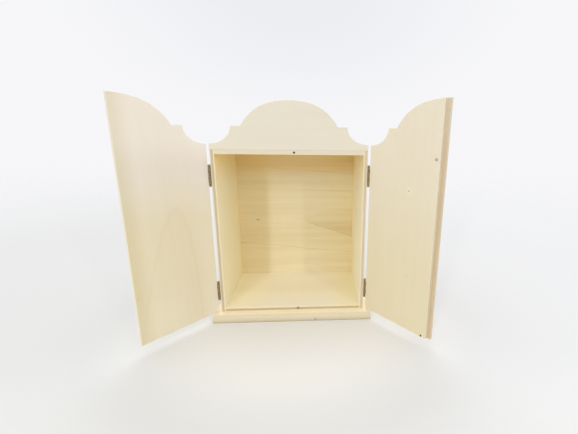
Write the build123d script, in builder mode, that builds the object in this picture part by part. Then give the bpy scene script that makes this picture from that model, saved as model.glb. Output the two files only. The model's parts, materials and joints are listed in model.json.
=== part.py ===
"""Miniature wardrobe: an open plywood box on a moulded base plate, a shaped crest board, two doors.

The frame has X to the right, Y to the back and Z up. The origin is the centre of the base plate's
underside. Each door stands open at its own angle, and its joint turns it about its hinge pins.
"""
from build123d import *
from math import acos, cos, degrees, radians, sin, sqrt
import os

os.makedirs("parts", exist_ok=True)

# --- Driving dimensions, in millimetres and degrees ---

# Box, of plywood: sides full height, roof and floor between them, back over the rear edges.
# The arris is the small bevel left by sanding along the edges of the boards.
ply = 4.0
arris = 0.2
box_width = 146.0
box_depth = 87.0
box_height = 164.5

# Base plate, with an ovolo and a small lip routed along the front and both ends
base_width = 160.0
base_nose = 9.0
base_height = 7.5
base_lip = 1.0
lip_inset = 2.6
ovolo_radius = 2.5
base_underside_round = 0.8

# Crest outline, heights above the floor: an arch of three arcs, a level step and a hollow cove
crown_height = 216.4
crown_radius = 75.0
crown_half_span = 16.0
haunch_radius = 42.0
step_height = 193.5
cove_width = 20.0
cove_end_height = 177.6

# Doors
door_bottom = 8.8
door_gap = 1.0
meeting_gap = 0.6
open_angle = {"left": 133.4, "right": 129.6}

# Astragal strip on the right door
strip_width = 8.0
strip_thickness = 3.0
strip_overhang = 3.0
strip_bottom = 8.0
strip_top = 217.0
strip_round = 0.7

# Hinges: the axis lies in front of the box, and the knuckles belong to the two leaves by turns
hinge_length = 20.0
hinge_heights = {"upper": 148.2, "lower": 31.5}
barrel_radius = 1.0
axis_forward = 0.5
pin_radius = 0.4
pin_clearance = 0.04
pin_cap_radius = 0.75
pin_cap_height = 0.5
knuckle_count = 5
knuckle_play = 0.12
leaf_thickness = 0.4
leaf_reach = 4.4
leaf_relief = 0.25
nail_reach = 2.8
nail_spacing = 14.0
nail_radius = 0.4
nail_head_radius = 0.75
nail_head_height = 0.3
frame_nail_depth = 3.0
door_nail_depth = 6.0

# Catches: distance from the line where the doors meet and height of each. The upper one is a
# magnet in the roof and a pin in the right door, the lower one a magnet in the door and a pin
# in the floor board.
catch_upper = (3.6, 170.0)
catch_lower = (4.9, 10.1)
magnet_radius = 1.0
magnet_length = 3.0
strike_head_radius = 1.3
strike_head_height = 0.7
strike_shank_radius = 0.6
strike_shank_length = 3.0

# Share of its height over which the rim of a nail, pin or cap is rounded
head_roundness = 0.8

# --- Derived sizes and places ---

base_depth = box_depth + base_nose
front_y = base_nose - base_depth / 2
back_y = base_depth / 2
box_top = base_height + box_height
side_x = box_width / 2
inner_depth = box_depth - ply
inner_middle_y = front_y + inner_depth / 2
axis_x = side_x + barrel_radius
side_sign = {"left": -1, "right": 1}
up = Vector(0, 0, 1)
front_plane = Plane(origin=(0, front_y, 0), x_dir=(1, 0, 0), z_dir=(0, -1, 0))


def axis_point(side, height=0.0):
    """A point on a door's hinge axis. side is -1 for the left door and 1 for the right one."""
    return Vector(side * axis_x, front_y - axis_forward, height)


def inward(side, angle):
    """The direction from the hinge axis to the free edge of a door that is open by an angle."""
    return Vector(-side * cos(radians(angle)), -sin(radians(angle)), 0)


def outward(side, angle):
    """The direction that the outer face of a door looks when the door is open by an angle."""
    return Vector(side * sin(radians(angle)), -cos(radians(angle)), 0)


def door_plane(side, angle, depth):
    """An upright plane in a door, at a depth in front of the hinge axis.

    Its x runs from the line where the closed doors meet to the hinge, and its y runs up. Its
    normal looks out of the right door and into the left one, so side times an outward distance
    is the amount to extrude.
    """
    meeting_line = axis_point(side) + inward(side, angle) * axis_x
    return Plane(
        origin=meeting_line + outward(side, angle) * depth,
        x_dir=-inward(side, angle),
        z_dir=outward(side, angle) * side,
    )


def hinge_plane(side, angle, height):
    """A level plane with its origin on the hinge axis and its x towards the door's free edge.

    side times an outward distance is a place along its y.
    """
    return Plane(origin=axis_point(side, height), x_dir=inward(side, angle), z_dir=up)


def nail_plane(side, angle, middle, outward_reach):
    """A plane on the bare face of a hinge leaf, with its normal into the wood and its x up."""
    leaf_face = axis_point(side, middle) + inward(side, angle) * (barrel_radius - leaf_thickness)
    return Plane(
        origin=leaf_face + outward(side, angle) * outward_reach,
        x_dir=up,
        z_dir=inward(side, angle),
    )


def shaped_board(plane, bottom, inner_edge, amount):
    """Half of the crest shape, from near the meeting line to the box side, as a board."""
    crown_centre = crown_height - crown_radius
    crown_end_y = crown_centre + sqrt(crown_radius**2 - crown_half_span**2)
    haunch_share = 1 - haunch_radius / crown_radius
    haunch_x = crown_half_span * haunch_share
    haunch_y = crown_centre + (crown_end_y - crown_centre) * haunch_share
    crown_start_angle = degrees(acos(inner_edge / crown_radius))
    crown_end_angle = degrees(acos(crown_half_span / crown_radius))
    step_rise = step_height - haunch_y
    step_inner_x = haunch_x + sqrt(haunch_radius**2 - step_rise**2)
    step_end_angle = degrees(acos((step_inner_x - haunch_x) / haunch_radius))
    crown_turn = crown_end_angle - crown_start_angle
    haunch_turn = step_end_angle - crown_end_angle
    cove_drop = step_height - cove_end_height
    cove_centre = (side_x, step_height)
    with BuildPart() as board:
        with BuildSketch(plane):
            with BuildLine():
                crown = CenterArc((0, crown_centre), crown_radius, crown_start_angle, crown_turn)
                haunch = CenterArc((haunch_x, haunch_y), haunch_radius, crown_end_angle, haunch_turn)
                Line(haunch @ 1, (side_x - cove_width, step_height))
                cove = EllipticalCenterArc(cove_centre, cove_width, cove_drop, 180, arc_size=90)
                Polyline(cove @ 1, (side_x, bottom), (inner_edge, bottom), crown @ 0)
            make_face()
        extrude(amount=amount)
    return board.part


def round_pin(plane, shank_radius, shank_length, head_radius, head_height, places):
    """Nails or pins with domed heads: shanks along the plane's normal, heads on its other side."""
    with BuildPart() as pins:
        with BuildSketch(plane):
            with Locations(*places):
                Circle(shank_radius)
        extrude(amount=shank_length)
        with BuildSketch(plane):
            with Locations(*places):
                Circle(head_radius)
        extrude(amount=-head_height)
        head_faces = pins.faces().sort_by(Axis(plane.origin, plane.z_dir))[: len(places)]
        fillet(head_faces.edges(), radius=head_height * head_roundness)
    return pins.part


nail_places = [(-nail_spacing / 2, 0), (nail_spacing / 2, 0)]


def nail_holes(side, angle, middle, outward_reach, depth):
    """The two holes of one hinge leaf, as solids that start on the leaf's bare face."""
    with BuildPart() as holes:
        with BuildSketch(nail_plane(side, angle, middle, outward_reach)):
            with Locations(*nail_places):
                Circle(nail_radius)
        extrude(amount=leaf_thickness + depth)
    return holes.part


def hinge_leaf(side, angle, middle, outward_sign, first_knuckle):
    """One leaf of a butt hinge: every second knuckle, and the plate that lies on the wood."""
    pitch = hinge_length / knuckle_count
    bottom = middle - hinge_length / 2
    plate_start = barrel_radius + leaf_relief
    plate_middle_x = barrel_radius - leaf_thickness / 2
    plate_width = leaf_reach - plate_start
    with BuildPart() as leaf:
        for knuckle in range(first_knuckle, knuckle_count, 2):
            with BuildSketch(hinge_plane(side, angle, bottom + knuckle * pitch + knuckle_play / 2)):
                Circle(barrel_radius)
                with Locations((plate_middle_x, side * outward_sign * plate_start / 2)):
                    Rectangle(leaf_thickness, plate_start)
                Circle(pin_radius + pin_clearance, mode=Mode.SUBTRACT)
            extrude(amount=pitch - knuckle_play)
        with BuildSketch(hinge_plane(side, angle, bottom)):
            with Locations((plate_middle_x, side * outward_sign * (plate_start + plate_width / 2))):
                Rectangle(leaf_thickness, plate_width)
        extrude(amount=hinge_length)
        add(nail_holes(side, angle, middle, outward_sign * nail_reach, 0), mode=Mode.SUBTRACT)
    return leaf.part


def hinge_pin(side, middle):
    """A hinge pin with a small cap at each end of the barrel."""
    cap_start = hinge_length / 2
    with BuildPart() as pin:
        with BuildSketch(hinge_plane(side, 0, middle - cap_start - pin_cap_height)):
            Circle(pin_cap_radius)
        extrude(amount=pin_cap_height)
        with BuildSketch(hinge_plane(side, 0, middle - cap_start)):
            Circle(pin_radius)
        extrude(amount=hinge_length)
        with BuildSketch(hinge_plane(side, 0, middle + cap_start)):
            Circle(pin_cap_radius)
        extrude(amount=pin_cap_height)
        cap_rims = pin.edges().group_by(Axis.Z)
        fillet(cap_rims[0] + cap_rims[-1], radius=pin_cap_height * head_roundness)
    return pin.part


# --- Base plate ---

with BuildPart() as base_plate:
    with BuildSketch():
        Rectangle(base_width, base_depth)
    extrude(amount=base_height - base_lip)
    routed_edges = base_plate.faces().sort_by(Axis.Z)[-1].edges().sort_by(Axis.Y)[:3]
    fillet(routed_edges, radius=ovolo_radius)
    lower_edges = base_plate.faces().sort_by(Axis.Z)[0].edges().sort_by(Axis.Y)[:3]
    fillet(lower_edges, radius=base_underside_round)
    with BuildSketch(Plane.XY.offset(base_height - base_lip)):
        with Locations((0, lip_inset / 2)):
            Rectangle(base_width - 2 * lip_inset, base_depth - lip_inset)
    extrude(amount=base_lip)
base_plate.part.label = "base_plate"
export_step(base_plate.part, "parts/base_plate.step")

# --- Box panels ---

for name, side in side_sign.items():
    with BuildPart() as side_panel:
        with BuildSketch(Plane.XY.offset(base_height)):
            with Locations((side * (side_x - ply / 2), inner_middle_y)):
                Rectangle(ply, inner_depth)
        extrude(amount=box_height)
        chamfer(side_panel.faces().sort_by(Axis.Y)[0].edges(), length=arris)
        for middle in hinge_heights.values():
            holes = nail_holes(side, 0, middle, -nail_reach, frame_nail_depth)
            add(holes, mode=Mode.SUBTRACT)
    side_panel.part.label = f"side_panel_{name}"
    export_step(side_panel.part, f"parts/side_panel_{name}.step")

with BuildPart() as top_panel:
    with BuildSketch(Plane.XY.offset(box_top - ply)):
        with Locations((0, inner_middle_y)):
            Rectangle(box_width - 2 * ply, inner_depth)
    extrude(amount=ply)
    chamfer(top_panel.faces().sort_by(Axis.Y)[0].edges(), length=arris)
    with BuildSketch(front_plane):
        with Locations(catch_upper):
            Circle(magnet_radius)
    extrude(amount=-magnet_length, mode=Mode.SUBTRACT)
top_panel.part.label = "top_panel"
export_step(top_panel.part, "parts/top_panel.step")

with BuildPart() as floor_panel:
    with BuildSketch(Plane.XY.offset(base_height)):
        with Locations((0, inner_middle_y)):
            Rectangle(box_width - 2 * ply, inner_depth)
    extrude(amount=ply)
    chamfer(floor_panel.faces().sort_by(Axis.Y)[0].edges(), length=arris)
    with BuildSketch(front_plane):
        with Locations(catch_lower):
            Circle(strike_shank_radius)
    extrude(amount=-strike_shank_length, mode=Mode.SUBTRACT)
floor_panel.part.label = "floor_panel"
export_step(floor_panel.part, "parts/floor_panel.step")

with BuildPart() as back_panel:
    with BuildSketch(Plane.XY.offset(base_height)):
        with Locations((0, back_y - ply / 2)):
            Rectangle(box_width, ply)
    extrude(amount=box_height)
back_panel.part.label = "back_panel"
export_step(back_panel.part, "parts/back_panel.step")

# --- Crest board, on the front of the roof ---

with BuildPart() as crest_board:
    add(shaped_board(front_plane, box_top, 0, -ply))
    mirror(about=Plane.YZ)
    chamfer(crest_board.faces().sort_by(Axis.Y)[0].edges(), length=arris)
    chamfer(crest_board.faces().sort_by(Axis.Y)[-1].edges(), length=arris)
crest_board.part.label = "crest_board"
export_step(crest_board.part, "parts/crest_board.step")

# --- Doors ---

inner_face_depth = door_gap - axis_forward
outer_face_depth = inner_face_depth + ply
doors = {}
for name, side in side_sign.items():
    inner_face = door_plane(side, open_angle[name], inner_face_depth)
    with BuildPart() as door:
        add(shaped_board(inner_face, door_bottom, meeting_gap / 2, side * ply))
        door_faces = door.faces().sort_by(Axis(inner_face.origin, inner_face.z_dir))
        chamfer(door_faces[0].edges() + door_faces[-1].edges(), length=arris)
        for middle in hinge_heights.values():
            holes = nail_holes(side, open_angle[name], middle, nail_reach, door_nail_depth)
            add(holes, mode=Mode.SUBTRACT)
        if name == "right":
            with BuildSketch(inner_face):
                with Locations(catch_upper):
                    Circle(strike_shank_radius)
            extrude(amount=side * strike_shank_length, mode=Mode.SUBTRACT)
            with BuildSketch(inner_face):
                with Locations(catch_lower):
                    Circle(magnet_radius)
            extrude(amount=side * magnet_length, mode=Mode.SUBTRACT)
    door.part.label = f"door_{name}"
    export_step(door.part, f"parts/door_{name}.step")

# --- Astragal strip, on the outer face of the right door ---

right_inner_face = door_plane(1, open_angle["right"], inner_face_depth)
right_outer_face = door_plane(1, open_angle["right"], outer_face_depth)
strip_middle_x = meeting_gap / 2 - strip_overhang + strip_width / 2
strip_middle_y = (strip_bottom + strip_top) / 2

with BuildPart() as astragal_strip:
    with BuildSketch(right_outer_face):
        with Locations((strip_middle_x, strip_middle_y)):
            Rectangle(strip_width, strip_top - strip_bottom)
    extrude(amount=strip_thickness)
    strip_faces = astragal_strip.faces().sort_by(Axis(right_outer_face.origin, right_outer_face.z_dir))
    fillet(strip_faces[-1].edges().filter_by(Axis.Z), radius=strip_round)
astragal_strip.part.label = "astragal_strip"
export_step(astragal_strip.part, "parts/astragal_strip.step")

# --- Hinges and their nails ---

for name, side in side_sign.items():
    for level, middle in hinge_heights.items():
        frame_leaf = hinge_leaf(side, 0, middle, -1, 0)
        frame_leaf.label = f"hinge_{name}_{level}_frame_leaf"
        export_step(frame_leaf, f"parts/{frame_leaf.label}.step")
        door_leaf = hinge_leaf(side, open_angle[name], middle, 1, 1)
        door_leaf.label = f"hinge_{name}_{level}_door_leaf"
        export_step(door_leaf, f"parts/{door_leaf.label}.step")
        pin = hinge_pin(side, middle)
        pin.label = f"hinge_{name}_{level}_pin"
        export_step(pin, f"parts/{pin.label}.step")

with BuildPart() as frame_leaf_nails:
    for side in side_sign.values():
        for middle in hinge_heights.values():
            add(
                round_pin(
                    nail_plane(side, 0, middle, -nail_reach),
                    nail_radius,
                    leaf_thickness + frame_nail_depth,
                    nail_head_radius,
                    nail_head_height,
                    nail_places,
                )
            )
frame_leaf_nails.part.label = "frame_leaf_nails"
export_step(frame_leaf_nails.part, "parts/frame_leaf_nails.step")

for name, side in side_sign.items():
    with BuildPart() as door_leaf_nails:
        for middle in hinge_heights.values():
            add(
                round_pin(
                    nail_plane(side, open_angle[name], middle, nail_reach),
                    nail_radius,
                    leaf_thickness + door_nail_depth,
                    nail_head_radius,
                    nail_head_height,
                    nail_places,
                )
            )
    door_leaf_nails.part.label = f"door_leaf_nails_{name}"
    export_step(door_leaf_nails.part, f"parts/door_leaf_nails_{name}.step")

# --- Catches ---

with BuildPart() as magnet_top:
    with BuildSketch(front_plane):
        with Locations(catch_upper):
            Circle(magnet_radius)
    extrude(amount=-magnet_length)
magnet_top.part.label = "magnet_top"
export_step(magnet_top.part, "parts/magnet_top.step")

with BuildPart() as magnet_bottom:
    with BuildSketch(right_inner_face):
        with Locations(catch_lower):
            Circle(magnet_radius)
    extrude(amount=magnet_length)
magnet_bottom.part.label = "magnet_bottom"
export_step(magnet_bottom.part, "parts/magnet_bottom.step")

strike_pin_top = round_pin(
    right_inner_face,
    strike_shank_radius,
    strike_shank_length,
    strike_head_radius,
    strike_head_height,
    [catch_upper],
)
strike_pin_top.label = "strike_pin_top"
export_step(strike_pin_top, "parts/strike_pin_top.step")

into_floor = Plane(origin=front_plane.origin, x_dir=(-1, 0, 0), z_dir=(0, 1, 0))
strike_pin_bottom = round_pin(
    into_floor,
    strike_shank_radius,
    strike_shank_length,
    strike_head_radius,
    strike_head_height,
    [(-catch_lower[0], catch_lower[1])],
)
strike_pin_bottom.label = "strike_pin_bottom"
export_step(strike_pin_bottom, "parts/strike_pin_bottom.step")
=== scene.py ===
"""Looks of the miniature wardrobe: plywood, solid wood and metals, a pale stage, soft lights, a camera.

Everything is in metres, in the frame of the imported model. Material space is in millimetres.
"""
import json
import math

import bpy
from mathutils import Euler, Matrix, Vector


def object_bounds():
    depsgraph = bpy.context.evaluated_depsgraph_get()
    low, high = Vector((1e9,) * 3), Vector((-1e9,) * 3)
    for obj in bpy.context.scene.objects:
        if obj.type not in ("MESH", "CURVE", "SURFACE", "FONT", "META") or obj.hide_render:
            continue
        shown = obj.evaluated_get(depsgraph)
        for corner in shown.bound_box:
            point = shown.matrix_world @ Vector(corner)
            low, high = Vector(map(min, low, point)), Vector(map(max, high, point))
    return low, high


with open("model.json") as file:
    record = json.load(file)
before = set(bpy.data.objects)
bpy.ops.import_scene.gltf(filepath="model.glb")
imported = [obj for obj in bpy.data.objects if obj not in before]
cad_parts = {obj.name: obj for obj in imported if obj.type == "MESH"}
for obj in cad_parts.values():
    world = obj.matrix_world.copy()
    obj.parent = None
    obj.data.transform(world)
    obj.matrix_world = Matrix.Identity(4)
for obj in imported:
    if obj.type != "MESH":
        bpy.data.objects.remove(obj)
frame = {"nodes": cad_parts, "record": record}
cad_low, cad_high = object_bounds()
nodes = frame["nodes"]

MM = 1000.0
X_AXIS = Vector((1, 0, 0))
Y_AXIS = Vector((0, 1, 0))
Z_AXIS = Vector((0, 0, 1))


# --- Small tools for shader nodes ---

def srgb(red, green, blue):
    """A screen colour, 0 to 255, as a linear colour for a shader socket."""
    linear = []
    for level in (red, green, blue):
        share = level / 255
        linear.append(share / 12.92 if share <= 0.04045 else ((share + 0.055) / 1.055) ** 2.4)
    return (*linear, 1.0)


class Paint:
    """One material and short ways to add nodes to it. A value is a number, a tuple or a node's output."""

    def __init__(self, name):
        self.material = bpy.data.materials.new(name)
        self.material.use_nodes = True
        self.tree = self.material.node_tree
        self.tree.nodes.clear()
        self.output = self.tree.nodes.new("ShaderNodeOutputMaterial")
        self.shader = self.tree.nodes.new("ShaderNodeBsdfPrincipled")
        self.tree.links.new(self.shader.outputs[0], self.output.inputs[0])

    def put(self, socket, value):
        if isinstance(value, bpy.types.NodeSocket):
            self.tree.links.new(value, socket)
        else:
            socket.default_value = value

    def add(self, kind, values=None, **settings):
        made = self.tree.nodes.new(kind)
        for name, value in settings.items():
            setattr(made, name, value)
        for socket, value in (values or {}).items():
            self.put(made.inputs[socket], value)
        return made

    def math(self, operation, first, second=0.0):
        return self.add("ShaderNodeMath", {0: first, 1: second}, operation=operation).outputs[0]

    def times(self, first, second):
        return self.math("MULTIPLY", first, second)

    def plus(self, first, second):
        return self.math("ADD", first, second)

    def minus(self, first, second):
        return self.math("SUBTRACT", first, second)

    def absolute(self, value):
        return self.math("ABSOLUTE", value)

    def step(self, value, low, high, at_low=0.0, at_high=1.0):
        """A smooth step from at_low to at_high as value goes from low to high."""
        values = {"Value": value, "From Min": low, "From Max": high, "To Min": at_low, "To Max": at_high}
        return self.add("ShaderNodeMapRange", values, interpolation_type="SMOOTHSTEP").outputs[0]

    def place(self, vector, location=(0, 0, 0), scale=(1, 1, 1), rotation=(0, 0, 0)):
        values = {"Vector": vector, "Location": location, "Scale": scale, "Rotation": rotation}
        return self.add("ShaderNodeMapping", values).outputs[0]

    def split(self, vector):
        return self.add("ShaderNodeSeparateXYZ", {0: vector}).outputs

    def noise(self, vector, scale=1.0, detail=2.0, roughness=0.5, distortion=0.0):
        """Smooth noise from 0 to 1, about 0.5 in the mean."""
        values = {
            "Vector": vector,
            "Scale": scale,
            "Detail": detail,
            "Roughness": roughness,
            "Distortion": distortion,
        }
        return self.add("ShaderNodeTexNoise", values).outputs[0]

    def mix(self, share, first, second, blend="MIX"):
        values = {0: share, 6: first, 7: second}
        return self.add("ShaderNodeMix", values, data_type="RGBA", blend_type=blend).outputs[2]

    def ramp(self, value, stops):
        """A colour for each value from 0 to 1, from a list of (place, colour)."""
        made = self.add("ShaderNodeValToRGB", {0: value})
        elements = made.color_ramp.elements
        elements[0].position, elements[0].color = stops[0]
        elements[1].position, elements[1].color = stops[-1]
        for place, colour in stops[1:-1]:
            elements.new(place).color = colour
        return made.outputs[0]

    def finish(self, colour, roughness, height, depth, specular=0.35, metallic=0.0):
        """Joins colour, roughness and bump (height 0 to 1 over a depth in metres) to the shader."""
        bump = self.add("ShaderNodeBump", {"Strength": 1.0, "Distance": depth, "Height": height})
        self.put(self.shader.inputs["Base Color"], colour)
        self.put(self.shader.inputs["Roughness"], roughness)
        self.put(self.shader.inputs["Normal"], bump.outputs[0])
        self.shader.inputs["Specular IOR Level"].default_value = specular
        self.shader.inputs["Metallic"].default_value = metallic
        return self.material


def give(node, material):
    """Puts one material on the whole of a CAD node."""
    slots = nodes[node].data.materials
    slots.clear()
    slots.append(material)


# --- The space of one board: along its grain, across it, and through its thickness ---

def face_normal(node):
    """The direction of a node's largest flat face."""
    areas = {}
    for polygon in nodes[node].data.polygons:
        key = tuple(round(abs(part), 2) for part in polygon.normal)
        area, normal = areas.get(key, (0.0, polygon.normal.copy()))
        areas[key] = (area + polygon.area, normal)
    return max(areas.values(), key=lambda entry: entry[0])[1]


class Board:
    """The grain axes of a board. Its coordinates start at its lowest corner, at half its thickness."""

    def __init__(self, node, along, facing):
        normal = face_normal(node)
        if normal.dot(facing) < 0:
            normal = -normal
        across = normal.cross(along).normalized()
        self.axes = Matrix((along, across, normal))
        placed = [self.axes @ vertex.co for vertex in nodes[node].data.vertices]
        low = Vector([min(point[axis] for point in placed) for axis in range(3)])
        high = Vector([max(point[axis] for point in placed) for axis in range(3)])
        self.origin = Vector((low[0], low[1], (low[2] + high[2]) / 2)) * MM
        self.size = (high - low) * MM
        self.rotation = tuple(self.axes.to_euler("XYZ"))

    def position(self, paint):
        """Position on the board in millimetres."""
        source = paint.add("ShaderNodeTexCoord").outputs["Object"]
        return paint.place(source, tuple(-self.origin), (MM, MM, MM), self.rotation)

    def normal(self, paint):
        """The surface normal in the axes of the board."""
        source = paint.add("ShaderNodeTexCoord").outputs["Normal"]
        return paint.place(source, (0, 0, 0), (1, 1, 1), self.rotation)


# --- Wood ---

# Darkness of plain wood, and the darkness at which each of a wood's four tones lies
PLAIN_DARKNESS = 0.30
TONE_STOPS = (0.0, 0.3, 0.6, 1.0)

# Length over which a late wood line begins and ends, in millimetres
LINE_FADE = 8
LINE_WARP_SHARE = 0.12
LINE_RAGGEDNESS = 2.4

# Plies, as shares of half the thickness: the core ends, the glue line lies, the face ply begins
CORE_TO_PLY = (0.44, 0.52)
GLUE_LINE = (0.40, 0.47, 0.56)

# Depth under the face over which the face veneer gives way to the edge, in millimetres
VENEER_DEPTH = (0.14, 0.26)


def fibre_noise(paint, place, along_scale, across_scale, detail=3.0, shift=0.0):
    """Streaks that run along the grain. The scales are in turns per millimetre."""
    scale = (along_scale, across_scale, across_scale)
    stretched = paint.place(place, (shift, shift * 0.7, shift * 1.3), scale)
    return paint.noise(stretched, 1.0, detail, 0.55)


def swing(paint, noise, amount):
    """Noise from 0 to 1 turned into a swing about zero, amount from end to end."""
    return paint.times(paint.minus(noise, 0.5), amount)


def toned(paint, darkness, tones):
    """The colour for a darkness from 0 to 1, through a wood's four tones."""
    return paint.ramp(darkness, list(zip(TONE_STOPS, tones)))


def arch_depth(paint, parts, warp, arch):
    """How far inside the outermost arch of a figure a point is, in millimetres along the grain.

    The arch has its tip at (tip, centre) and opens along direction. Its middle line leans by lean,
    and its width grows with the distance from the tip by spread and power.
    """
    reach = paint.times(paint.minus(parts[0], arch["tip"]), arch["direction"])
    middle = paint.plus(arch["centre"], paint.times(reach, arch["lean"]))
    offset = paint.absolute(paint.minus(parts[1], middle))
    bend = paint.math("DIVIDE", paint.math("POWER", offset, arch["power"]), arch["spread"])
    return paint.plus(paint.minus(reach, bend), warp)


def arch_lines(paint, depth, arch):
    """Late wood lines inside an arch: count of them, spacing apart, each sharp outside and soft inside."""
    ring = paint.math("FRACT", paint.math("DIVIDE", depth, arch["spacing"]))
    line = paint.times(paint.step(ring, 0.0, 0.06), paint.step(ring, 0.06, 0.8, 1.0, 0.0))
    last = arch["spacing"] * arch["count"]
    inside = paint.times(paint.step(depth, 0.0, 0.5), paint.step(depth, last - 2, last, 1.0, 0.0))
    return paint.times(line, inside)


def spot(paint, place, centre, radius, stretch=1.0):
    """1 within a small round or long spot around a centre, 0 outside it."""
    shift = (-centre[0] / stretch, -centre[1], -centre[2])
    around = paint.place(place, shift, (1 / stretch, 1, 1))
    distance = paint.add("ShaderNodeVectorMath", {0: around}, operation="LENGTH").outputs["Value"]
    return paint.step(distance, radius * 0.4, radius * 1.3, 1.0, 0.0)


def tinted(paint, parts, colour, tone_and_painted_light_tints):
    """Multiplies a colour by each tint, which fades in from start to stop along one of the board's axes.
    Most tints are painted light and shade; a few are the wood's own drift in tone.
    """
    for axis, start, stop, tint in tone_and_painted_light_tints:
        colour = paint.mix(paint.step(parts[axis], start, stop), colour, (*tint, 1.0), "MULTIPLY")
    return colour


def spotted(paint, place, colour, spots):
    """Adds knots, pores and pale marks, each with centre, radius, stretch along the grain, colour, share."""
    for centre, radius, stretch, spot_colour, share in spots:
        mark = spot(paint, place, centre, radius, stretch)
        colour = paint.mix(paint.times(mark, share), colour, spot_colour)
    return colour


def plywood(name, board, look):
    """Three-ply: a sanded face veneer with its figure, and edges that show the plies and glue lines."""
    paint = Paint(name)
    place = board.position(paint)
    parts = paint.split(place)
    seed = look["seed"]
    tones = look["tones"]

    drift = paint.noise(paint.place(place, (seed, seed, 0), (0.008, 0.02, 0.02)), 1.0, 2.0, 0.5)
    streak = fibre_noise(paint, place, 0.006, 0.16, 3.0, seed + 3)
    fibre = fibre_noise(paint, place, 0.05, 1.6, 4.0, seed + 7)
    hair = fibre_noise(paint, place, 0.25, 7.0, 2.0, seed + 11)

    darkness = paint.plus(PLAIN_DARKNESS, swing(paint, drift, look["drift"]))
    darkness = paint.plus(darkness, swing(paint, streak, look["streak"]))
    darkness = paint.plus(darkness, swing(paint, fibre, look["fibre"]))
    darkness = paint.plus(darkness, swing(paint, hair, look["fibre"] * 0.6))

    # The outer veneer is another sheet, without the figure of the inner one. Its darker tones are painted
    # shade, against the strong light from behind and above.
    outer_face_painted_shade = toned(paint, darkness, look["outer"])

    warp = swing(paint, fibre_noise(paint, place, 0.03, 0.05, 3.0, seed + 17), look["warp"])
    ragged = paint.minus(fibre_noise(paint, place, 0.02, 0.5, 3.0, seed + 19), 0.5)
    for arch in look["arches"]:
        depth = arch_depth(paint, parts, paint.plus(warp, paint.times(ragged, arch["ragged"])), arch)
        darkness = paint.plus(darkness, paint.times(arch_lines(paint, depth, arch), arch["line"]))
        darkness = paint.plus(darkness, paint.step(depth, 0.0, arch["blend"], 0.0, arch["inside"]))
    for height, slope, width, depth, start, stop in look["lines"]:
        centre = paint.plus(height, paint.times(parts[0], slope))
        waver = paint.plus(paint.times(warp, LINE_WARP_SHARE), paint.times(ragged, LINE_RAGGEDNESS))
        offset = paint.absolute(paint.plus(paint.minus(parts[1], centre), waver))
        line = paint.step(offset, 0.0, width, depth, 0.0)
        begins = paint.step(parts[0], start, start + LINE_FADE)
        ends = paint.step(parts[0], stop - LINE_FADE, stop, 1.0, 0.0)
        darkness = paint.plus(darkness, paint.times(line, paint.times(begins, ends)))

    face = toned(paint, darkness, tones)
    face = tinted(paint, parts, face, look["tone_and_painted_light_tints"])
    face = spotted(paint, place, face, look["spots"])
    face = paint.mix(paint.step(parts[2], 0.5, -0.5), face, outer_face_painted_shade)

    # Edges: how far a point is from the middle of the board, as a share of half its thickness
    half = board.size[2] / 2
    wander = swing(paint, fibre_noise(paint, place, 0.06, 0.06, 2.0, seed + 23), 0.12)
    layer = paint.plus(paint.math("DIVIDE", paint.absolute(parts[2]), half), wander)
    end = paint.absolute(paint.split(board.normal(paint))[0])
    end_grain = fibre_noise(paint, place, 2.2, 1.5, 3.0, seed + 29)
    core_mottle = paint.noise(paint.place(place, (0, 0, 0), (0.35, 0.35, 1.4)), 1.0, 3.0, 0.6)
    core_dark = paint.mix(core_mottle, look["core"], look["core_deep"])
    core_light = paint.mix(core_mottle, tones[1], tones[2])
    core = paint.mix(end, core_dark, core_light)
    ply_edge = paint.mix(paint.times(end_grain, 0.5), look["edge"], look["edge_deep"])
    edge = paint.mix(paint.step(layer, *CORE_TO_PLY), core, ply_edge)
    glue_start, glue_middle, glue_end = GLUE_LINE
    glue_rise = paint.step(layer, glue_start, glue_middle)
    glue = paint.times(glue_rise, paint.step(layer, glue_middle, glue_end, 1.0, 0.0))
    edge = paint.mix(paint.times(glue, look["glue"]), edge, look["glue_colour"])
    edge = tinted(paint, parts, edge, look["edge_painted_shade_tints"])
    veneer_top, veneer_bottom = VENEER_DEPTH
    on_edge = paint.step(paint.absolute(parts[2]), half - veneer_bottom, half - veneer_top, 1.0, 0.0)
    colour = paint.mix(on_edge, face, edge)

    saw = paint.noise(paint.place(place, (0, 0, 0), (1.1, 1.1, 0.12)), 1.0, 2.0, 0.6)
    face_height = paint.plus(paint.times(fibre, 0.6), paint.times(hair, 0.4))
    height = paint.add("ShaderNodeMix", {0: on_edge, 2: face_height, 3: saw}).outputs[0]
    roughness = paint.plus(0.56, paint.times(fibre, 0.12))
    return paint.finish(colour, roughness, height, 0.00007, specular=0.3)


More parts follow.
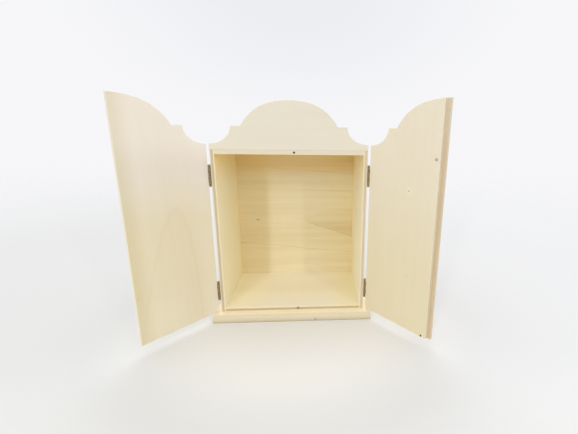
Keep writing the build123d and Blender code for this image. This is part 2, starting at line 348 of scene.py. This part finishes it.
def solid_wood(name, board, look):
    """Planed solid wood with straight grain along the piece, and end grain on its two ends."""
    paint = Paint(name)
    place = board.position(paint)
    parts = paint.split(place)
    seed = look["seed"]
    tones = look["tones"]

    drift = paint.noise(paint.place(place, (seed, seed, 0), (0.012, 0.05, 0.05)), 1.0, 2.0, 0.5)
    band = fibre_noise(paint, place, 0.008, look["band_scale"], 2.0, seed + 5)
    fibre = fibre_noise(paint, place, 0.06, 1.9, 4.0, seed + 9)
    pore = paint.step(fibre_noise(paint, place, 0.3, 5.0, 2.0, seed + 13), 0.66, 0.80)
    darkness = paint.plus(PLAIN_DARKNESS, swing(paint, drift, look["drift"]))
    darkness = paint.plus(darkness, swing(paint, band, look["band"]))
    darkness = paint.plus(darkness, swing(paint, fibre, look["fibre"]))
    darkness = paint.plus(darkness, paint.times(pore, 0.07))
    colour = toned(paint, darkness, tones)

    end = paint.absolute(paint.split(board.normal(paint))[0])
    rings = paint.noise(paint.place(place, (0, 0, 0), (0.4, 0.9, 0.5)), 1.0, 3.0, 0.6, 0.6)
    end_colour = paint.mix(rings, tones[1], tones[3])
    colour = paint.mix(paint.step(end, 0.6, 0.9, 0.0, 0.55), colour, end_colour)
    colour = tinted(paint, parts, colour, look["tone_and_painted_light_tints"])
    colour = spotted(paint, place, colour, look["spots"])

    height = paint.plus(paint.times(fibre, 0.7), paint.times(band, 0.3))
    roughness = paint.plus(0.54, paint.times(fibre, 0.14))
    return paint.finish(colour, roughness, height, 0.00009, specular=0.3)


# --- Metals ---

def metal(name, tones, roughness_low, roughness_high, grain_scale, depth):
    """A metal with mottled colour, fine scratches and uneven gloss."""
    paint = Paint(name)
    place = paint.place(paint.add("ShaderNodeTexCoord").outputs["Object"], scale=(MM, MM, MM))
    mottle = paint.noise(place, grain_scale, 4.0, 0.6)
    rub = paint.noise(paint.place(place, scale=(3.0, 3.0, 0.35)), 1.0, 3.0, 0.6)
    share = paint.plus(paint.times(mottle, 0.65), paint.times(rub, 0.35))
    share = paint.step(share, 0.32, 0.68)
    colour = paint.ramp(share, [(0.0, tones[0]), (0.5, tones[1]), (1.0, tones[2])])
    roughness = paint.plus(roughness_low, paint.times(mottle, roughness_high - roughness_low))
    return paint.finish(colour, roughness, share, depth, specular=0.5, metallic=1.0)


# --- Boards and their looks ---

def wood_tones(red, green, blue):
    """Four tones of one wood, from its palest early wood to a brown mark, around a linear colour."""
    shares = [(1.05, 1.06, 1.09), (1.0, 1.0, 1.0), (0.92, 0.88, 0.79), (0.72, 0.60, 0.42)]
    return [(red * share[0], green * share[1], blue * share[2], 1.0) for share in shares]


PORE = srgb(112, 84, 52)
PLY = {
    "drift": 0.30,
    "streak": 0.16,
    "fibre": 0.10,
    "warp": 16.0,
    # Darker tones for the outer faces of the boards: painted shade
    "outer": wood_tones(0.75, 0.69, 0.55),
    "arches": [],
    "lines": [],
    "tone_and_painted_light_tints": [],
    "edge_painted_shade_tints": [],
    "spots": [],
    "core": srgb(222, 206, 174),
    "core_deep": srgb(206, 187, 152),
    "edge": srgb(236, 224, 200),
    "edge_deep": srgb(224, 209, 180),
    "glue": 0.55,
    "glue_colour": srgb(186, 164, 130),
}
# Darker colours for the edges of the boards that only the outside shows: painted shade against the strong
# light from behind and above
OUTER_EDGES_PAINTED_SHADE = {
    "core": srgb(206, 192, 166),
    "core_deep": srgb(190, 172, 142),
    "edge": srgb(212, 202, 182),
    "edge_deep": srgb(200, 187, 163),
}
# Darker top ends of the side panels: painted shade against the strong light from above
SIDE_TOP_PAINTED_SHADE = (0, 163.9, 164.3, (0.74, 0.75, 0.82))

# The boards' tones differ as plywood sheets do; the paler, more golden tones of the sides, the floor and the
# back are also painted light inside the cabinet.
boards = {
    "door_left": (Z_AXIS, X_AXIS, {
        "seed": 11.0,
        "tones": wood_tones(0.80, 0.725, 0.605),
        # Tints: yellower towards the bottom. Painted light and shade: paler at the top and the bottom ends,
        # darker along one long edge and paler along the other.
        "tone_and_painted_light_tints": [
            (0, 150.0, 92.0, (0.985, 0.965, 0.82)),
            (0, 148.0, 176.0, (1.07, 1.08, 1.11)),
            (0, 50.0, 10.0, (1.03, 1.045, 1.08)),
            (1, 58.0, 72.0, (0.91, 0.89, 0.80)),
            (1, 22.0, 6.0, (1.03, 1.04, 1.08)),
        ],
        "arches": [{
            "tip": 117.0, "centre": 32.4, "direction": -1.0, "lean": 0.105, "power": 2.0, "spread": 7.0,
            "spacing": 26.0, "count": 1, "line": 0.08, "inside": 0.02, "blend": 8.0, "ragged": 6.0,
        }],
        "core": srgb(240, 232, 211),
        "core_deep": srgb(234, 225, 201),
        "edge": srgb(240, 232, 211),
        "edge_deep": srgb(234, 225, 201),
        "glue": 0.15,
    }),
    "door_right": (Z_AXIS, -X_AXIS, {
        "seed": 23.0,
        "tones": wood_tones(0.83, 0.75, 0.59),
        "tone_and_painted_light_tints": [(0, 165.0, 40.0, (0.97, 0.96, 0.84))],
        "spots": [
            ((131.9, 27.3, 2.0), 3.2, 1.3, srgb(246, 238, 216), 0.3),
            ((131.9, 27.3, 2.0), 0.75, 1.0, PORE, 0.6),
            ((53.9, 23.6, 2.0), 0.5, 4.0, srgb(206, 188, 150), 0.5),
        ],
        "core": srgb(226, 209, 182),
        "core_deep": srgb(214, 195, 166),
    }),
    "crest_board": (X_AXIS, -Y_AXIS, {
        "seed": 37.0,
        "tones": wood_tones(0.785, 0.728, 0.59),
        **OUTER_EDGES_PAINTED_SHADE,
    }),
    "side_panel_left": (Z_AXIS, X_AXIS, {
        "seed": 41.0,
        "tones": wood_tones(0.97, 0.90, 0.66),
        # Tints: darker and warmer towards the top, painted shade under the roof; paler towards the back
        # edge, painted light.
        "tone_and_painted_light_tints": [(0, 122.0, 162.0, (1.02, 0.92, 0.68)), (1, 26.0, 4.0, (1.05, 0.99, 0.88))],
        "edge_painted_shade_tints": [SIDE_TOP_PAINTED_SHADE],
        "core": srgb(214, 196, 160),
        "core_deep": srgb(198, 178, 142),
    }),
    "side_panel_right": (Z_AXIS, -X_AXIS, {
        "seed": 53.0,
        "tones": wood_tones(0.98, 0.94, 0.76),
        # Tints: darker and warmer towards the top, painted shade under the roof; paler towards the back
        # edge, painted light.
        "tone_and_painted_light_tints": [(0, 122.0, 162.0, (1.0, 0.93, 0.74)), (1, 52.0, 74.0, (1.05, 0.99, 0.88))],
        "edge_painted_shade_tints": [SIDE_TOP_PAINTED_SHADE],
    }),
    "top_panel": (X_AXIS, -Z_AXIS, {
        "seed": 61.0,
        # Darker, more golden inner tones for the underside of the top: painted shade under the roof
        "tones": wood_tones(0.88, 0.72, 0.44),
        # Much darker tones for the top's upper face: painted shade against the strong light from above
        "outer": wood_tones(0.62, 0.57, 0.455),
        "core": srgb(232, 220, 198),
        "core_deep": srgb(224, 211, 187),
        "glue": 0.25,
    }),
    "floor_panel": (X_AXIS, Z_AXIS, {
        "seed": 71.0,
        "tones": wood_tones(0.93, 0.865, 0.67),
        # Tints: painted shade, warmer at the left and right sides in the lights' shadows and darker at the
        # front; painted light, paler and cooler towards the back.
        "tone_and_painted_light_tints": [
            (0, 46.0, 14.0, (1.04, 1.03, 0.95)),
            (0, 100.0, 132.0, (1.01, 0.99, 0.85)),
            (1, 36.0, 74.0, (1.07, 1.08, 1.14)),
            (1, 36.0, 4.0, (0.96, 0.96, 1.00)),
        ],
        "core": srgb(206, 186, 142),
        "core_deep": srgb(190, 167, 122),
        "edge_deep": srgb(206, 188, 146),
    }),
    "back_panel": (X_AXIS, -Y_AXIS, {
        "seed": 83.0,
        "tones": wood_tones(0.88, 0.772, 0.515),
        **OUTER_EDGES_PAINTED_SHADE,
        "streak": 0.68,
        "fibre": 0.34,
        "arches": [{
            "tip": 62.6, "centre": 78.0, "direction": 1.0, "lean": -0.09, "power": 1.15, "spread": 0.37,
            "spacing": 9.0, "count": 4, "line": 0.03, "inside": 0.19, "blend": 18.0, "ragged": 40.0,
        }],
        "lines": [
            (113.0, -0.020, 0.6, 0.30, -10.0, 160.0),
            (92.3, -0.015, 0.4, 0.16, -10.0, 160.0),
            (46.4, -0.108, 0.8, 0.32, -10.0, 150.0),
            (140.3, -0.058, 0.8, 0.30, 40.0, 160.0),
            (30.3, -0.160, 0.6, 0.20, 66.0, 146.0),
            (100.6, -0.340, 1.5, 0.24, 84.0, 150.0),
            (54.0, 0.0, 24.0, 0.20, -40.0, 190.0),
        ],
        # Tints: painted shade, a warm dark band along the top under the roof and warmer strips at the left
        # and the right in the lights' shadows; painted light, paler and cooler towards the bottom.
        "tone_and_painted_light_tints": [
            (1, 126.0, 142.0, (0.99, 0.87, 0.66)),
            (0, 48.0, 30.0, (1.0, 0.965, 0.87)),
            (0, 95.0, 125.0, (1.0, 0.985, 0.92)),
            (1, 30.0, 14.0, (1.02, 1.02, 1.06)),
        ],
        "spots": [((26.2, 74.7, 2.0), 1.4, 1.6, srgb(196, 146, 78), 0.6)],
    }),
}
for node, (along, facing, look) in boards.items():
    give(node, plywood(f"{node}_plywood", Board(node, along, facing), {**PLY, **look}))

solid_pieces = {
    "base_plate": (X_AXIS, Z_AXIS, {
        "seed": 5.0,
        "tones": wood_tones(0.94, 0.84, 0.62),
        "drift": 0.25,
        "band": 0.25,
        "band_scale": 0.45,
        "fibre": 0.14,
        # Tints: painted shade, darker on the front face, at the back and towards the bottom.
        "tone_and_painted_light_tints": [
            (1, 3.0, 2.2, (0.765, 0.765, 0.755)),
            (1, 72.0, 78.0, (0.84, 0.86, 0.94)),
            (2, -0.5, -3.2, (0.84, 0.775, 0.67)),
        ],
        "spots": [((102.7, 0.0, -1.75), 0.8, 2.2, PORE, 0.6)],
    }),
    "astragal_strip": (Z_AXIS, X_AXIS, {
        "seed": 17.0,
        "tones": wood_tones(0.70, 0.58, 0.41),
        "drift": 0.4,
        "band": 0.25,
        "band_scale": 0.6,
        "fibre": 0.16,
        # Tints: darker and yellower towards the bottom; paler and cooler at the top, painted light.
        "tone_and_painted_light_tints": [(0, 160.0, 60.0, (0.95, 0.94, 0.86)), (0, 165.0, 195.0, (1.01, 1.06, 1.12))],
        "spots": [],
    }),
}
for node, (along, facing, look) in solid_pieces.items():
    give(node, solid_wood(f"{node}_wood", Board(node, along, facing), look))

# Tones from dark to rubbed, roughness from low to high, turns of the mottle per millimetre, bump depth
METALS = {
    "hinge_bronze": ((118, 104, 70), (152, 137, 96), (196, 181, 140), 0.32, 0.5, 0.9, 0.00003),
    "nail_steel": ((120, 116, 108), (150, 147, 140), (178, 176, 170), 0.25, 0.45, 1.5, 0.00002),
    "strike_steel": ((164, 158, 128), (204, 198, 168), (236, 230, 206), 0.3, 0.5, 1.5, 0.00002),
    "strike_brass": ((150, 120, 76), (178, 148, 98), (200, 174, 126), 0.3, 0.5, 1.5, 0.00002),
    "magnet_ferrite": ((38, 32, 20), (48, 40, 26), (62, 54, 38), 0.55, 0.75, 2.0, 0.00002),
}
metals = {}
for name, (dark, middle, rubbed, *surface) in METALS.items():
    metals[name] = metal(name, [srgb(*dark), srgb(*middle), srgb(*rubbed)], *surface)
ferrite = metals["magnet_ferrite"].node_tree.nodes["Principled BSDF"]
ferrite.inputs["Metallic"].default_value = 0.2

SLOT_LOOKS = {
    "hinge_bronze": metals["hinge_bronze"],
    "nail_steel": metals["nail_steel"],
    "strike_steel": metals["strike_steel"],
    "magnet": metals["magnet_ferrite"],
}
for piece in frame["record"]["subparts"]:
    if piece["material_slot"] in SLOT_LOOKS:
        give(piece["node"], SLOT_LOOKS[piece["material_slot"]])
give("strike_pin_bottom", metals["strike_brass"])

# --- Stage: a pale floor that fades into the white surroundings ---

FLOOR_RADIUS = 3.0
FADE_FROM = 0.44
FADE_TO = 2.4
NEAR_SHIFT = (0.0, 0.06, 0.0)
NEAR_SCALE = (0.66, 1.0, 1.0)
FLOOR_SEGMENTS = 96
FLOOR_DARK = (0.60, 0.60, 0.595, 1.0)
FLOOR_LIGHT = (0.62, 0.62, 0.615, 1.0)
# Painted light and shade on the paper: lighter near the cabinet, towards the front and on the right, darker
# on the left
FLOOR_NEAR_PAINTED_LIGHT = (0.78, 0.775, 0.755, 1.0)
FRONT_PAINTED_LIGHT = (1.04, 1.04, 1.03, 1.0)
LEFT_PAINTED_SHADE = (0.955, 0.96, 0.955, 1.0)
RIGHT_PAINTED_LIGHT = (1.02, 1.025, 1.04, 1.0)


def make_floor():
    """A disc of pale paper with painted light, lighter near the cabinet, that turns clear towards its rim.
    """
    rim = []
    for index in range(FLOOR_SEGMENTS):
        turn = math.tau * index / FLOOR_SEGMENTS
        rim.append((FLOOR_RADIUS * math.cos(turn), FLOOR_RADIUS * math.sin(turn), cad_low.z))
    mesh = bpy.data.meshes.new("studio_floor")
    mesh.from_pydata(rim, [], [list(range(FLOOR_SEGMENTS))])
    floor = bpy.data.objects.new("studio_floor", mesh)
    bpy.context.scene.collection.objects.link(floor)
    paint = Paint("studio_floor_paper")
    place = paint.add("ShaderNodeTexCoord").outputs["Object"]
    distance = paint.add("ShaderNodeVectorMath", {0: place}, operation="LENGTH").outputs["Value"]
    clear = paint.add("ShaderNodeBsdfTransparent").outputs[0]
    fade = paint.step(paint.math("DIVIDE", 1.0, distance), 1 / FADE_FROM, 1 / FADE_TO)
    blend = paint.add("ShaderNodeMixShader", {0: fade, 1: paint.shader.outputs[0], 2: clear}).outputs[0]
    paint.put(paint.output.inputs[0], blend)
    tooth = paint.noise(place, 900.0, 2.0, 0.5)
    tone = paint.mix(paint.noise(place, 5.0, 2.0, 0.5), FLOOR_DARK, FLOOR_LIGHT)
    # Painted light and shade: a lighter patch in front of the cabinet, lighter towards the front, darker on
    # the left and lighter on the right
    near = paint.place(place, NEAR_SHIFT, NEAR_SCALE)
    spread = paint.add("ShaderNodeVectorMath", {0: near}, operation="LENGTH").outputs["Value"]
    tone = paint.mix(paint.step(spread, 0.05, 0.125, 1.0, 0.0), tone, FLOOR_NEAR_PAINTED_LIGHT)
    to_front = paint.step(paint.split(place)[1], -0.09, -0.18)
    tone = paint.mix(to_front, tone, FRONT_PAINTED_LIGHT, "MULTIPLY")
    sideways = paint.step(paint.split(place)[0], -0.45, 0.45)
    tone = paint.mix(1.0, tone, paint.mix(sideways, LEFT_PAINTED_SHADE, RIGHT_PAINTED_LIGHT), "MULTIPLY")
    paint.finish(tone, 0.8, tooth, 0.00005, specular=0.2)
    mesh.materials.append(paint.material)


make_floor()

# --- Lights ---


def studio_light(name, azimuth, elevation, distance, width, height, strength):
    """A soft light. strength is the light that it gives a white card that faces it, white being 1."""
    turn, rise = math.radians(azimuth), math.radians(elevation)
    target = (cad_low + cad_high) / 2
    back = Vector((math.sin(turn) * math.cos(rise), -math.cos(turn) * math.cos(rise), math.sin(rise)))
    data = bpy.data.lights.new(name, "AREA")
    data.shape = "RECTANGLE"
    data.size = width
    data.size_y = height
    data.energy = strength * math.pi**2 * distance**2
    light = bpy.data.objects.new(name, data)
    light.location = target + back * distance
    light.rotation_mode = "QUATERNION"
    light.rotation_quaternion = back.to_track_quat("Z", "Y")
    bpy.context.scene.collection.objects.link(light)


studio_light("strip_left", -24.8, 22.0, 2.4, 0.16, 0.9, 0.155)
studio_light("strip_right", 37.5, 24.0, 2.4, 0.10, 0.9, 0.09)
studio_light("back_softbox", 180.0, 52.0, 2.4, 1.8, 1.8, 0.18)

WHITE = (0.925, 0.925, 0.95, 1.0)
ROOM = (0.585, 0.585, 0.59, 1.0)
CEILING = (1.45, 1.45, 1.46, 1.0)
SHADE = (0.84, 0.85, 0.875, 1.0)
SHADE_SHIFT = (0.03, -0.94, -0.34)
SHADE_SCALE = (0.6, 1.0, 1.0)


def make_surroundings():
    """What the camera sees is white all round, with a greyer patch of painted shade behind and a little
    above the cabinet. The light is a white backdrop, a room and a ceiling.
    """
    made = bpy.data.worlds.new("white_surroundings")
    made.use_nodes = True
    tree = made.node_tree
    direction = tree.nodes.new("ShaderNodeTexCoord").outputs["Generated"]
    parts = tree.nodes.new("ShaderNodeSeparateXYZ")
    tree.links.new(direction, parts.inputs[0])
    around = tree.nodes.new("ShaderNodeMapping")
    around.inputs["Location"].default_value = SHADE_SHIFT
    around.inputs["Scale"].default_value = SHADE_SCALE
    tree.links.new(direction, around.inputs["Vector"])
    distance = tree.nodes.new("ShaderNodeVectorMath")
    distance.operation = "LENGTH"
    tree.links.new(around.outputs[0], distance.inputs[0])

    def blend(value, start, stop, first, second):
        """first below start, second beyond stop, and a smooth change between them."""
        share = tree.nodes.new("ShaderNodeMapRange")
        share.interpolation_type = "SMOOTHSTEP"
        share.inputs["From Min"].default_value = start
        share.inputs["From Max"].default_value = stop
        tree.links.new(value, share.inputs["Value"])
        mix = tree.nodes.new("ShaderNodeMix")
        mix.data_type = "RGBA"
        tree.links.new(share.outputs[0], mix.inputs[0])
        for socket, colour in ((mix.inputs[6], first), (mix.inputs[7], second)):
            if isinstance(colour, tuple):
                socket.default_value = colour
            else:
                tree.links.new(colour, socket)
        return mix.outputs[2]

    walls = blend(parts.outputs[1], -0.7, -0.1, ROOM, WHITE)
    light = blend(parts.outputs[2], 0.35, 0.85, walls, CEILING)
    seen = blend(distance.outputs["Value"], 0.03, 0.38, SHADE, WHITE)
    is_seen = tree.nodes.new("ShaderNodeLightPath").outputs["Is Camera Ray"]
    tree.links.new(blend(is_seen, 0.0, 1.0, light, seen), tree.nodes["Background"].inputs["Color"])
    return made


bpy.context.scene.world = make_surroundings()
bpy.context.scene.view_settings.view_transform = "Standard"

# --- Camera, in metres and degrees ---

CAMERA_FROM = Vector((0.02356, -0.35239, 0.19495))
CAMERA_TURN = -4.426
CAMERA_TILT = -13.887
CAMERA_ROLL = -0.895
CAMERA_LENS = 20.69
CAMERA_SHIFT = (-0.0895, -0.0160)


def make_camera():
    data = bpy.data.cameras.new("photo_view")
    data.sensor_width = 36.0
    data.lens = CAMERA_LENS
    data.shift_x, data.shift_y = CAMERA_SHIFT
    data.clip_start = 0.01
    data.clip_end = 50.0
    camera = bpy.data.objects.new("photo_view", data)
    turn = Euler((0, 0, math.radians(CAMERA_TURN))).to_matrix()
    tilt = Euler((math.radians(CAMERA_TILT), 0, 0)).to_matrix()
    roll = Euler((0, math.radians(CAMERA_ROLL), 0)).to_matrix()
    level = Euler((math.radians(90), 0, 0)).to_matrix()
    camera.matrix_world = Matrix.Translation(CAMERA_FROM) @ (turn @ tilt @ roll @ level).to_4x4()
    bpy.context.scene.collection.objects.link(camera)
    bpy.context.scene.camera = camera


make_camera()
